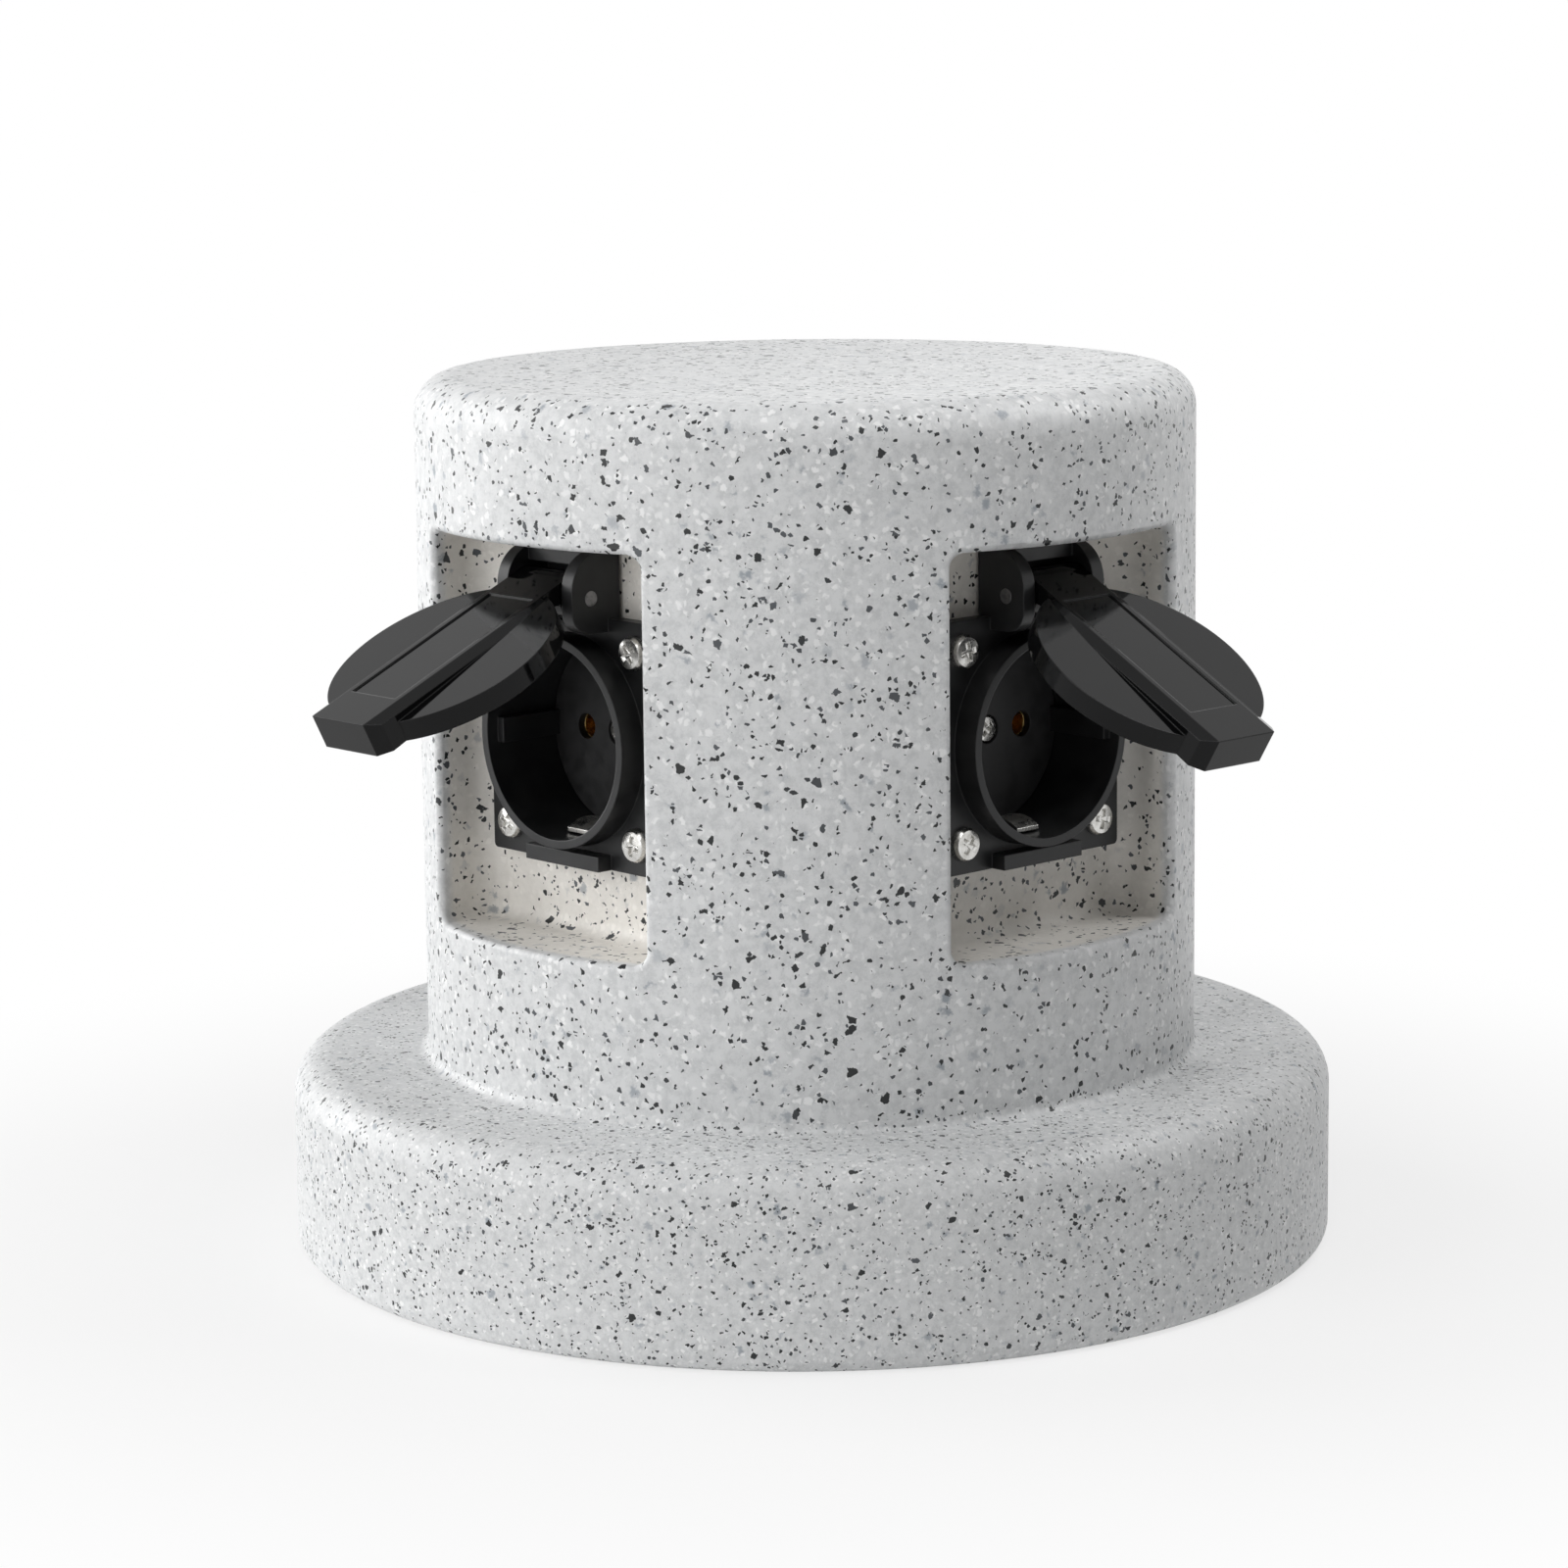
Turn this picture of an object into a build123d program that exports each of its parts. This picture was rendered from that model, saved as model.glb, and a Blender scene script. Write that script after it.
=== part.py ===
from build123d import *
import os
from math import cos, radians, sin, sqrt

# Garden socket post: a speckled rotomoulded post with four panel sockets, one in a recess on
# each side, every socket under a hinged lid. Millimetres. The origin is on the post's axis at
# floor level, +Z is up, and the front socket faces -Y. The front and right lids stand open.

# Post housing
post_height = 180.0
drum_radius = 80.0
base_radius = 108.0
base_height = 39.5
housing_wall = 4.0
drum_edge_radius = 7.5
base_edge_radius = 7.5
foot_edge_radius = 3.0
neck_radius = 2.0

# Recesses
recess_width = 62.0
recess_bottom = 71.0
recess_height = 80.0
recess_wall_distance = 60.0
recess_back_radius = 5.5
recess_corner_radius = 3.0
mouth_edge_radius = 1.2

# Panel sockets
flange_size = 50.0
flange_thickness = 3.2
flange_corner_radius = 1.0
gasket_thickness = 0.8
gasket_margin = 0.4
screw_spacing = 38.0
well_radius = 19.6
well_depth = 17.5
collar_thickness = 1.7
tube_thickness = 2.4
tube_reach = 20.0
guide_rib_width = 5.0
guide_rib_rise = 1.8
guide_rib_setback = 2.7
sill_strip_width = 22.0
sill_strip_height = 3.0
sill_strip_clearance = 1.3

# Lid hinge
pin_rise = 29.4
pin_radius = 1.5
pin_clearance = 0.05
hinge_width = 22.6
ear_thickness = 3.1
ear_front = 4.9
ear_clearance = 0.35
ear_top_radius = 7.5
ear_bottom_radius = 4.5
hood_gap = 1.0
hood_thickness = 3.1
hood_setback = 0.7
hinge_back_thickness = 1.9

# Lids
lid_plate_thickness = 1.8
lid_skirt_height = 4.3
lid_skirt_thickness = 1.6
lid_skirt_clearance = 0.7
lid_face_rise = 4.8
barrel_radius = 5.0
barrel_clearance = 0.5
bar_width = 20.4
bar_bevel_width = 2.4
bar_bevel_depth = 1.1
bar_shoulder_gap = 1.6
bar_rise_at_start = 5.3
bar_rise_at_end = 7.6
grip_length = 3.5
knuckle_clearance = 0.4
panel_width = 13.2
panel_margin = 0.9
panel_end_margin = 9.5
panel_depth = 0.3
seal_overlap = 2.0
seal_thickness = 1.2
seal_clearance = 0.3
front_open_angle = 63.2
right_open_angle = 58.6

# Contacts
contact_pitch = 19.0
pin_hole_radius = 2.6
sleeve_radius = 3.5
sleeve_bore_radius = 2.45
carrier_clearance = 0.2
carrier_depth = 11.2
carrier_face_thickness = 1.7
clamp_width = 7.0
clamp_height = 9.0
clamp_reach = 7.0
clip_width = 6.0
clip_thickness = 0.8
clip_reach = 11.0
clip_bow = 1.6
clip_clearance = 0.3
earth_clamp_drop = 11.0
earth_clamp_height = 8.0
carrier_screw_radius = 1.5
carrier_screw_head_radius = 2.8
carrier_screw_head_height = 1.6

# Flange screws
screw_radius = 1.5
screw_clearance = 0.1
screw_head_radius = 3.4
screw_head_height = 1.9
screw_head_chamfer = 0.6
screw_length = 11.0

# Base plate
plate_clearance = 0.5
plate_thickness = 5.0
plate_rib_height = 5.0
plate_rib_thickness = 2.0
plate_rib_count = 8
plate_ring_radius = 60.0
boss_radius = 6.0
boss_setback = 5.5
plate_screw_radius = 2.0
plate_screw_head_radius = 4.0
plate_screw_head_height = 2.4
plate_screw_sink = 0.4
plate_screw_length = 16.0

# Cable gland
gland_angle = 135.0
gland_thread_radius = 8.0
gland_seal_seat_radius = 6.2
gland_hex_width = 22.0
gland_hex_length = 5.0
gland_neck_length = 10.0
gland_seat_margin = 0.9
gland_seat_depth = 1.4
gland_pad_thickness = 3.0
gland_clearance = 0.2
gland_washer_thickness = 1.2
gland_nut_length = 4.0
dome_radius = 10.4
dome_length = 13.0
dome_hex_length = 6.5
dome_wall = 1.6
dome_opening_radius = 5.4
dome_edge_radius = 2.6
cable_bore_radius = 4.6
gland_seal_length = 9.0
gland_seal_overhang = 1.2

# Splice connectors and wiring
connector_pitch = 9.5
connector_length = 30.0
connector_thickness = 8.0
connector_height = 18.5
entry_pitch = 5.6
entry_count = 5
entry_depth = 6.0
entry_size = 3.2
lever_width = 4.6
lever_height = 10.0
lever_thickness = 0.9
tray_wall = 1.5
tray_height = 8.0
tray_clearance = 0.3
wire_radius = 1.3
wire_facets = 8
wire_end_length = 7.0
wire_bend_radius = 11.0
lean_start_shares = (0.10, 0.25, 0.40)

# One length by which every cut overruns the surface that it opens
overrun = 2.0

# Places worked out from the sizes above
recess_top = recess_bottom + recess_height
socket_height = recess_bottom + recess_height / 2
flange_back = recess_wall_distance + gasket_thickness
flange_front = flange_back + flange_thickness
collar_radius = well_radius + collar_thickness
tube_radius = well_radius + tube_thickness
lid_radius = collar_radius + lid_skirt_clearance + lid_skirt_thickness
pin_height = socket_height + pin_rise
knuckle_back = flange_back + hinge_back_thickness
pin_distance = knuckle_back + barrel_clearance + barrel_radius
lid_face = pin_distance + lid_face_rise
lid_inside = lid_face - lid_plate_thickness
lid_rim = lid_face - lid_skirt_height
collar_front = lid_inside - seal_thickness - seal_clearance
well_floor = collar_front - well_depth
tube_back = flange_back - tube_reach
carrier_back = well_floor - carrier_depth
ear_inner = hinge_width / 2 - ear_thickness
ear_drop = pin_rise - sqrt(lid_radius ** 2 - ear_inner ** 2) - ear_clearance
hood_under = pin_height + barrel_radius + hood_gap
hood_top = hood_under + hood_thickness
bar_start = ear_drop + bar_shoulder_gap
bar_end = pin_rise + lid_radius + grip_length
inner_base_radius = base_radius - housing_wall
inner_base_height = base_height - housing_wall
connector_top = plate_thickness + connector_height
boss_distance = inner_base_radius - boss_setback
gland_height = (plate_thickness + inner_base_height) / 2
gland_seat_radius = gland_hex_width / sqrt(3) + gland_seat_margin
gland_seat = base_radius - gland_seat_depth
gland_pad = inner_base_radius - gland_pad_thickness
sides = {"front": 0.0, "right": 90.0, "rear": 180.0, "left": 270.0}
open_angles = {"front": front_open_angle, "right": right_open_angle, "rear": 0.0, "left": 0.0}

# Seen from the side, with the distance from the post's axis as x and the height as y
side_view = Plane(origin=(0, 0, 0), x_dir=(0, -1, 0), z_dir=(-1, 0, 0))

os.makedirs("parts", exist_ok=True)


def facing(distance):
    """Plane across the front socket, looking back at the post from this distance."""
    return Plane.XZ.offset(distance)


def round_corner(section, x, y, radius):
    """Round the corner of an open sketch that lies at x, y."""
    fillet(section.vertices().sort_by_distance((x, y, 0))[0], radius=radius)


def bevel_corner(section, x, y, radius):
    """Bevel the corner of an open sketch that lies at x, y, just touching an arc of this radius."""
    corner = section.vertices().sort_by_distance((x, y, 0))[0]
    chamfer(corner, length=radius * (2 - sqrt(2)))


def write(piece, name):
    """Label one finished piece and write its file."""
    piece.label = name
    export_step(piece, f"parts/{name}.step")


# Post housing: one hollow moulding, a drum on a wider base, open underneath. The recesses are
# walled off from the hollow, and each back wall is pierced for a socket and its four screws.
with BuildPart() as recess:
    mouth_distance = drum_radius + overrun
    recess_depth = mouth_distance - recess_wall_distance
    with BuildSketch(Plane.XY.offset(recess_bottom)) as recess_plan:
        with Locations((0, -recess_wall_distance - recess_depth / 2)):
            Rectangle(recess_width, recess_depth)
        fillet(recess_plan.vertices().group_by(Axis.Y)[-1], radius=recess_back_radius)
    extrude(amount=recess_height)
    mouth = recess.faces().sort_by(Axis.Y)[0]
    floor_edges = recess.faces().sort_by(Axis.Z)[0].edges() - mouth.edges()
    ceiling_edges = recess.faces().sort_by(Axis.Z)[-1].edges() - mouth.edges()
    fillet(floor_edges + ceiling_edges, radius=recess_corner_radius)
    with BuildSketch(facing(recess_wall_distance - housing_wall - overrun)):
        with Locations((0, socket_height)):
            Circle(tube_radius + carrier_clearance)
            with GridLocations(screw_spacing, screw_spacing, 2, 2):
                Circle(screw_radius + screw_clearance)
    extrude(amount=housing_wall + 2 * overrun)

with BuildPart() as post_housing:
    with BuildSketch(Plane.XZ) as outer_half:
        with BuildLine():
            Polyline(
                (0, 0),
                (base_radius, 0),
                (base_radius, base_height),
                (drum_radius, base_height),
                (drum_radius, post_height),
                (0, post_height),
                close=True,
            )
        make_face()
        round_corner(outer_half, base_radius, 0, foot_edge_radius)
        round_corner(outer_half, base_radius, base_height, base_edge_radius)
        round_corner(outer_half, drum_radius, base_height, neck_radius)
        round_corner(outer_half, drum_radius, post_height, drum_edge_radius)
    revolve(axis=Axis.Z)
    with BuildSketch(Plane.XZ) as inner_half:
        inner_drum_radius = drum_radius - housing_wall
        inner_height = post_height - housing_wall
        with BuildLine():
            Polyline(
                (0, -overrun),
                (inner_base_radius, -overrun),
                (inner_base_radius, inner_base_height),
                (inner_drum_radius, inner_base_height),
                (inner_drum_radius, inner_height),
                (0, inner_height),
                close=True,
            )
        make_face()
        bevel_corner(inner_half, inner_base_radius, inner_base_height, base_edge_radius - housing_wall)
        bevel_corner(inner_half, inner_drum_radius, inner_base_height, neck_radius + housing_wall)
        bevel_corner(inner_half, inner_drum_radius, inner_height, drum_edge_radius - housing_wall)
    revolve(axis=Axis.Z, mode=Mode.SUBTRACT)
    # Walls round the recesses
    lining_depth = drum_radius - recess_wall_distance + housing_wall
    with BuildSketch(Plane.XY.offset(recess_bottom - housing_wall)):
        with PolarLocations(drum_radius - lining_depth / 2, len(sides)):
            Rectangle(lining_depth, recess_width + 2 * housing_wall)
        Circle(drum_radius - housing_wall / 2, mode=Mode.INTERSECT)
    extrude(amount=recess_height + 2 * housing_wall)
    # Bosses for the base plate's screws, from the plate up to the base's roof
    with BuildSketch(Plane.XY.offset(plate_thickness)):
        with PolarLocations(boss_distance, len(sides)):
            Circle(boss_radius)
        Circle(base_radius - housing_wall / 2, mode=Mode.INTERSECT)
    extrude(amount=inner_base_height - plate_thickness + housing_wall / 2)
    with BuildSketch(Plane.XY.offset(plate_thickness - overrun)):
        with PolarLocations(boss_distance, len(sides)):
            Circle(plate_screw_radius + screw_clearance)
    extrude(amount=plate_screw_length + overrun, mode=Mode.SUBTRACT)
    with PolarLocations(0, len(sides)):
        add(recess.part, mode=Mode.SUBTRACT)
    mouth_edges = post_housing.edges().filter_by(
        lambda edge: recess_bottom - overrun < (edge @ 0.5).Z < recess_top + overrun
        and abs(sqrt((edge @ 0.5).X ** 2 + (edge @ 0.5).Y ** 2) - drum_radius) < mouth_edge_radius
    )
    fillet(mouth_edges, radius=mouth_edge_radius)
    # Seat for the cable gland: a thickened wall, faced flat outside and bored
    gland_direction = Plane(
        origin=(0, 0, gland_height),
        x_dir=(-sin(radians(gland_angle)), cos(radians(gland_angle)), 0),
        z_dir=(cos(radians(gland_angle)), sin(radians(gland_angle)), 0),
    )
    with BuildSketch(gland_direction.offset(gland_pad)):
        Circle(gland_seat_radius)
    extrude(amount=gland_seat - gland_pad)
    with BuildSketch(gland_direction.offset(gland_seat)):
        Circle(gland_seat_radius)
    extrude(amount=gland_seat_depth + overrun, mode=Mode.SUBTRACT)
    with BuildSketch(gland_direction.offset(gland_pad - overrun)):
        Circle(gland_thread_radius + gland_clearance)
    extrude(amount=gland_seat - gland_pad + 2 * overrun, mode=Mode.SUBTRACT)
write(post_housing.part, "post_housing")

# Base plate: a ribbed disc set into the open base, flush with its rim, with a tray that holds
# the connectors
with BuildPart() as base_plate:
    plate_radius = inner_base_radius - plate_clearance
    with BuildSketch(Plane.XY):
        Circle(plate_radius)
    extrude(amount=plate_thickness)
    with BuildSketch(Plane.XY.offset(plate_thickness)):
        Circle(plate_ring_radius)
        Circle(plate_ring_radius - plate_rib_thickness, mode=Mode.SUBTRACT)
        rib_length = plate_radius - plate_ring_radius - 2 * boss_radius
        turn_to_first_rib = 180 / plate_rib_count
        with PolarLocations(plate_ring_radius + rib_length / 2, plate_rib_count, turn_to_first_rib):
            Rectangle(rib_length + plate_rib_thickness, plate_rib_thickness)
    extrude(amount=plate_rib_height)
    tray_length = connector_length + 2 * (tray_clearance + tray_wall)
    tray_width = 2 * connector_pitch + connector_thickness + 2 * (tray_clearance + tray_wall)
    with BuildSketch(Plane.XY.offset(plate_thickness)) as tray_plan:
        Rectangle(tray_length, tray_width)
        Rectangle(tray_length - 2 * tray_wall, tray_width - 2 * tray_wall, mode=Mode.SUBTRACT)
    extrude(amount=tray_height)
    with BuildSketch(Plane.XY.offset(-overrun)):
        with PolarLocations(boss_distance, len(sides)):
            Circle(plate_screw_radius + screw_clearance)
    extrude(amount=plate_thickness + 2 * overrun, mode=Mode.SUBTRACT)
    with BuildSketch(Plane.XY.offset(-overrun)):
        with PolarLocations(boss_distance, len(sides)):
            Circle(plate_screw_head_radius + screw_clearance)
    extrude(amount=plate_screw_sink + plate_screw_head_height + overrun, mode=Mode.SUBTRACT)
write(base_plate.part, "base_plate")

# Base plate screws: four pan heads, sunk in their counterbores
with BuildPart() as base_plate_screws:
    head_seat = plate_screw_sink + plate_screw_head_height
    with BuildSketch(Plane.XY.offset(plate_screw_sink)):
        with PolarLocations(boss_distance, len(sides)):
            Circle(plate_screw_head_radius)
    extrude(amount=plate_screw_head_height)
    with BuildSketch(Plane.XY.offset(head_seat)):
        with PolarLocations(boss_distance, len(sides)):
            Circle(plate_screw_radius)
    extrude(amount=plate_screw_length)
write(base_plate_screws.part, "base_plate_screws")


def gland_ring(start, length, outer_radius, inner_radius):
    """A plain ring on the gland's axis."""
    with BuildPart() as ring:
        with BuildSketch(gland_direction.offset(start)):
            Circle(outer_radius)
            Circle(inner_radius, mode=Mode.SUBTRACT)
        extrude(amount=length)
    return ring.part


# Cable gland body: threaded tube through the wall, a hexagon outside it, a stepped seat for the seal
washer_front = gland_seat + gland_washer_thickness
hex_front = washer_front + gland_hex_length
neck_front = hex_front + gland_neck_length
thread_back = gland_pad - gland_nut_length - gland_washer_thickness
seal_back = neck_front + gland_seal_overhang - gland_seal_length
with BuildPart() as gland_body:
    with BuildSketch(gland_direction.offset(washer_front)):
        RegularPolygon(gland_hex_width / 2, 6, major_radius=False)
    extrude(amount=gland_hex_length)
    with BuildSketch(gland_direction.offset(thread_back)):
        Circle(gland_thread_radius)
    extrude(amount=neck_front - thread_back)
    with BuildSketch(gland_direction.offset(thread_back - overrun)):
        Circle(cable_bore_radius)
    extrude(amount=neck_front - thread_back + 2 * overrun, mode=Mode.SUBTRACT)
    with BuildSketch(gland_direction.offset(seal_back)):
        Circle(gland_seal_seat_radius)
    extrude(amount=gland_seal_length, mode=Mode.SUBTRACT)
write(gland_body.part, "gland_body")

# Flat washer that seals the hexagon on the housing
gland_washer = gland_ring(
    gland_seat, gland_washer_thickness, gland_hex_width / 2, gland_thread_radius + gland_clearance
)
write(gland_washer, "gland_washer")

# Lock nut inside the housing
with BuildPart() as gland_lock_nut:
    with BuildSketch(gland_direction.offset(gland_pad - gland_nut_length)):
        RegularPolygon(gland_hex_width / 2, 6, major_radius=False)
        Circle(gland_thread_radius + gland_clearance, mode=Mode.SUBTRACT)
    extrude(amount=gland_nut_length)
write(gland_lock_nut.part, "gland_lock_nut")

# Rubber seal that the dome nut squeezes on the cable
gland_seal = gland_ring(
    seal_back, gland_seal_length, gland_seal_seat_radius - gland_clearance, cable_bore_radius
)
write(gland_seal, "gland_seal")

# Dome nut: a hexagon with a round nose, hollow over the gland's neck
with BuildPart() as gland_dome_nut:
    dome_back = hex_front + gland_clearance
    with BuildSketch(gland_direction.offset(dome_back)):
        RegularPolygon(gland_hex_width / 2, 6, major_radius=False)
    extrude(amount=dome_hex_length)
    with BuildSketch(gland_direction.offset(dome_back + dome_hex_length)):
        Circle(dome_radius)
    extrude(amount=dome_length - dome_hex_length)
    dome_tip = gland_direction.offset(dome_back + dome_length).origin
    nose = gland_dome_nut.faces().sort_by_distance(dome_tip)[0]
    fillet(nose.edges(), radius=dome_edge_radius)
    with BuildSketch(gland_direction.offset(dome_back - overrun)):
        Circle(gland_thread_radius + gland_clearance)
    extrude(amount=dome_length - dome_wall + overrun, mode=Mode.SUBTRACT)
    with BuildSketch(gland_direction.offset(dome_back)):
        Circle(dome_opening_radius)
    extrude(amount=dome_length + overrun, mode=Mode.SUBTRACT)
write(gland_dome_nut.part, "gland_dome_nut")

# Splice connectors: three lever connectors stood on end in the tray, one for each pole
connector_rows = {"live": -connector_pitch, "earth": 0.0, "neutral": connector_pitch}
with BuildPart() as connector_bodies:
    with BuildSketch(Plane.XY.offset(plate_thickness)):
        with GridLocations(0, connector_pitch, 1, len(connector_rows)):
            RectangleRounded(connector_length, connector_thickness, tray_wall)
    extrude(amount=connector_height)
    with BuildSketch(Plane.XY.offset(connector_top - entry_depth)):
        with GridLocations(entry_pitch, connector_pitch, entry_count, len(connector_rows)):
            Rectangle(entry_size, entry_size)
    extrude(amount=entry_depth + overrun, mode=Mode.SUBTRACT)
write(connector_bodies.part, "connector_bodies")

# Their levers, one for each entry, flat on the connector's side
lever_clearance = (connector_pitch - connector_thickness - lever_thickness) / 2
with BuildPart() as connector_levers:
    lever_plane = Plane.XZ.offset(connector_thickness / 2 + lever_clearance)
    with BuildSketch(lever_plane):
        with Locations((0, connector_top - lever_height / 2)):
            with GridLocations(entry_pitch, 0, entry_count, 1):
                Rectangle(lever_width, lever_height)
    extrude(amount=lever_thickness)
    row = connector_levers.part
    with Locations((0, connector_pitch, 0), (0, -connector_pitch, 0)):
        add(row)
write(connector_levers.part, "connector_levers")

# Wiring: four single wires of each pole, each from its connector straight up, across the hollow
# and up again into the clamp at its socket
terminal_distance = carrier_back - clamp_reach / 2
terminal_places = {
    "live": (-contact_pitch / 2, socket_height - clamp_height / 2),
    "neutral": (contact_pitch / 2, socket_height - clamp_height / 2),
    "earth": (0.0, socket_height - earth_clamp_drop - earth_clamp_height / 2),
}


def wire_ends(pole, side):
    """Plan position at the connector and at the socket's clamp of one wire."""
    turn = radians(sides[side])
    across = terminal_places[pole][0]
    if side in ("left", "right"):
        column = 2 * entry_pitch if side == "right" else -2 * entry_pitch
        across = connector_rows[pole] if side == "right" else -connector_rows[pole]
    else:
        column = -entry_pitch if side == "front" else entry_pitch
    end_x = across * cos(turn) + terminal_distance * sin(turn)
    end_y = across * sin(turn) - terminal_distance * cos(turn)
    return (column, connector_rows[pole]), (end_x, end_y)


def wire(pole, side):
    """One wire: two straight ends and a long lean between them, joined by arcs.

    The row nearest to the socket leans first, so that the others pass above it.
    """
    start, end = wire_ends(pole, side)
    nearest_first = sorted(connector_rows, key=connector_rows.get, reverse=side == "rear")
    lean_share = lean_start_shares[nearest_first.index(pole)]
    wire_floor = connector_top - entry_depth
    end_height = terminal_places[pole][1]
    lean_start = connector_top + (end_height - connector_top) * lean_share
    with BuildPart() as strand:
        with BuildLine() as route:
            FilletPolyline(
                (start[0], start[1], wire_floor),
                (start[0], start[1], lean_start),
                (end[0], end[1], end_height - wire_end_length),
                (end[0], end[1], end_height),
                radius=wire_bend_radius,
            )
        with BuildSketch(Plane(origin=route.line @ 0, z_dir=route.line % 0)):
            RegularPolygon(wire_radius, wire_facets)
        sweep()
    return strand.part


for pole in connector_rows:
    wires = Compound(children=[wire(pole, side) for side in sides])
    write(wires, f"{pole}_wires")

# Socket body: flange, well tube, collar and hinge ears in one black moulding
with BuildPart() as socket_body:
    # Hinge block: two ears joined by a back and a hood
    ear_tip = pin_distance + ear_front
    ear_bottom = pin_height - ear_drop
    with BuildSketch(side_view.offset(-hinge_width / 2)) as ear_outline:
        with BuildLine():
            Polyline(
                (flange_back, ear_bottom),
                (ear_tip, ear_bottom),
                (ear_tip, hood_top),
                (flange_back, hood_top),
                close=True,
            )
        make_face()
        round_corner(ear_outline, ear_tip, hood_top, ear_top_radius)
        round_corner(ear_outline, ear_tip, ear_bottom, ear_bottom_radius)
    extrude(amount=hinge_width)
    with BuildSketch(side_view.offset(-ear_inner)):
        with BuildLine():
            Polyline(
                (knuckle_back, ear_bottom - overrun),
                (ear_tip + overrun, ear_bottom - overrun),
                (ear_tip + overrun, hood_top + overrun),
                (pin_distance - hood_setback, hood_top + overrun),
                (pin_distance - hood_setback, hood_under),
                (knuckle_back, hood_under),
                close=True,
            )
        make_face()
    extrude(amount=2 * ear_inner, mode=Mode.SUBTRACT)
    with BuildSketch(facing(flange_back)):
        with Locations((0, socket_height)):
            RectangleRounded(flange_size, flange_size, flange_corner_radius)
    extrude(amount=flange_thickness)
    with BuildSketch(facing(flange_front)):
        with Locations((0, socket_height)):
            Circle(collar_radius)
    extrude(amount=collar_front - flange_front)
    with BuildSketch(facing(tube_back)):
        with Locations((0, socket_height)):
            Circle(tube_radius)
    extrude(amount=tube_reach)
    # Sill strip under the collar, along the flange's lower edge
    with BuildSketch(facing(flange_front)):
        with Locations((0, socket_height - flange_size / 2 + sill_strip_height / 2)):
            Rectangle(sill_strip_width, sill_strip_height)
    extrude(amount=lid_rim - sill_strip_clearance - flange_front)
    with BuildSketch(facing(tube_back - overrun)):
        with Locations((0, socket_height)):
            Circle(well_radius)
    extrude(amount=collar_front - tube_back + 2 * overrun, mode=Mode.SUBTRACT)
    # Guide ribs at both sides of the well
    with BuildSketch(facing(well_floor)):
        with Locations((0, socket_height)):
            Circle(well_radius + collar_thickness / 2)
            Rectangle(2 * tube_radius, guide_rib_width, mode=Mode.INTERSECT)
            Rectangle(2 * (well_radius - guide_rib_rise), guide_rib_width, mode=Mode.SUBTRACT)
    extrude(amount=well_depth - guide_rib_setback)
    with BuildSketch(facing(flange_back - overrun)):
        with Locations((0, socket_height)):
            with GridLocations(screw_spacing, screw_spacing, 2, 2):
                Circle(screw_radius + screw_clearance)
    extrude(amount=flange_thickness + 2 * overrun, mode=Mode.SUBTRACT)
    with BuildSketch(side_view.offset(-hinge_width / 2 - overrun)):
        with Locations((pin_distance, pin_height)):
            Circle(pin_radius + pin_clearance)
    extrude(amount=hinge_width + 2 * overrun, mode=Mode.SUBTRACT)

# Flange gasket: a flat sheet cut to the flange
with BuildPart() as flange_gasket:
    with BuildSketch(facing(recess_wall_distance)):
        with Locations((0, socket_height)):
            Rectangle(flange_size - 2 * gasket_margin, flange_size - 2 * gasket_margin)
            Circle(tube_radius + gasket_margin, mode=Mode.SUBTRACT)
            with GridLocations(screw_spacing, screw_spacing, 2, 2):
                Circle(screw_radius + screw_clearance, mode=Mode.SUBTRACT)
    extrude(amount=gasket_thickness)

# Flange screws: pan heads on the flange, shanks through gasket and wall
with BuildPart() as flange_screws:
    with BuildSketch(facing(flange_front - screw_length)):
        with Locations((0, socket_height)):
            with GridLocations(screw_spacing, screw_spacing, 2, 2):
                Circle(screw_radius)
    extrude(amount=screw_length)
    with BuildSketch(facing(flange_front)):
        with Locations((0, socket_height)):
            with GridLocations(screw_spacing, screw_spacing, 2, 2):
                Circle(screw_head_radius)
    extrude(amount=screw_head_height)
    crowns = flange_screws.faces().filter_by(Axis.Y).group_by(Axis.Y)[0]
    chamfer(crowns.edges(), length=screw_head_chamfer)

# Hinge pin: plain steel pin, flush with the ears
with BuildPart() as hinge_pin:
    with BuildSketch(side_view.offset(-hinge_width / 2)):
        with Locations((pin_distance, pin_height)):
            Circle(pin_radius)
    extrude(amount=hinge_width)

# Contact carrier: round insulator that closes the well, bored for pins, sleeves and screw
with BuildPart() as contact_carrier:
    carrier_radius = well_radius - carrier_clearance
    clip_seat = carrier_radius - clip_thickness - clip_clearance
    with BuildSketch(facing(carrier_back)):
        with Locations((0, socket_height)):
            Circle(carrier_radius)
            with Locations((0, clip_seat + overrun), (0, -clip_seat - overrun)):
                Rectangle(clip_width + 2 * clip_clearance, 2 * overrun, mode=Mode.SUBTRACT)
    extrude(amount=carrier_depth)
    with BuildSketch(facing(carrier_back - overrun)):
        with Locations((0, socket_height)):
            with GridLocations(contact_pitch, 0, 2, 1):
                Circle(sleeve_radius + screw_clearance)
    extrude(amount=carrier_depth - carrier_face_thickness + overrun, mode=Mode.SUBTRACT)
    with BuildSketch(facing(carrier_back)):
        with Locations((0, socket_height)):
            Circle(carrier_screw_radius + screw_clearance)
            with GridLocations(contact_pitch, 0, 2, 1):
                Circle(pin_hole_radius)
    extrude(amount=carrier_depth + overrun, mode=Mode.SUBTRACT)
    with BuildSketch(facing(well_floor - carrier_screw_head_height)):
        with Locations((0, socket_height)):
            Circle(carrier_screw_head_radius + screw_clearance)
    extrude(amount=carrier_screw_head_height + overrun, mode=Mode.SUBTRACT)

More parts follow.
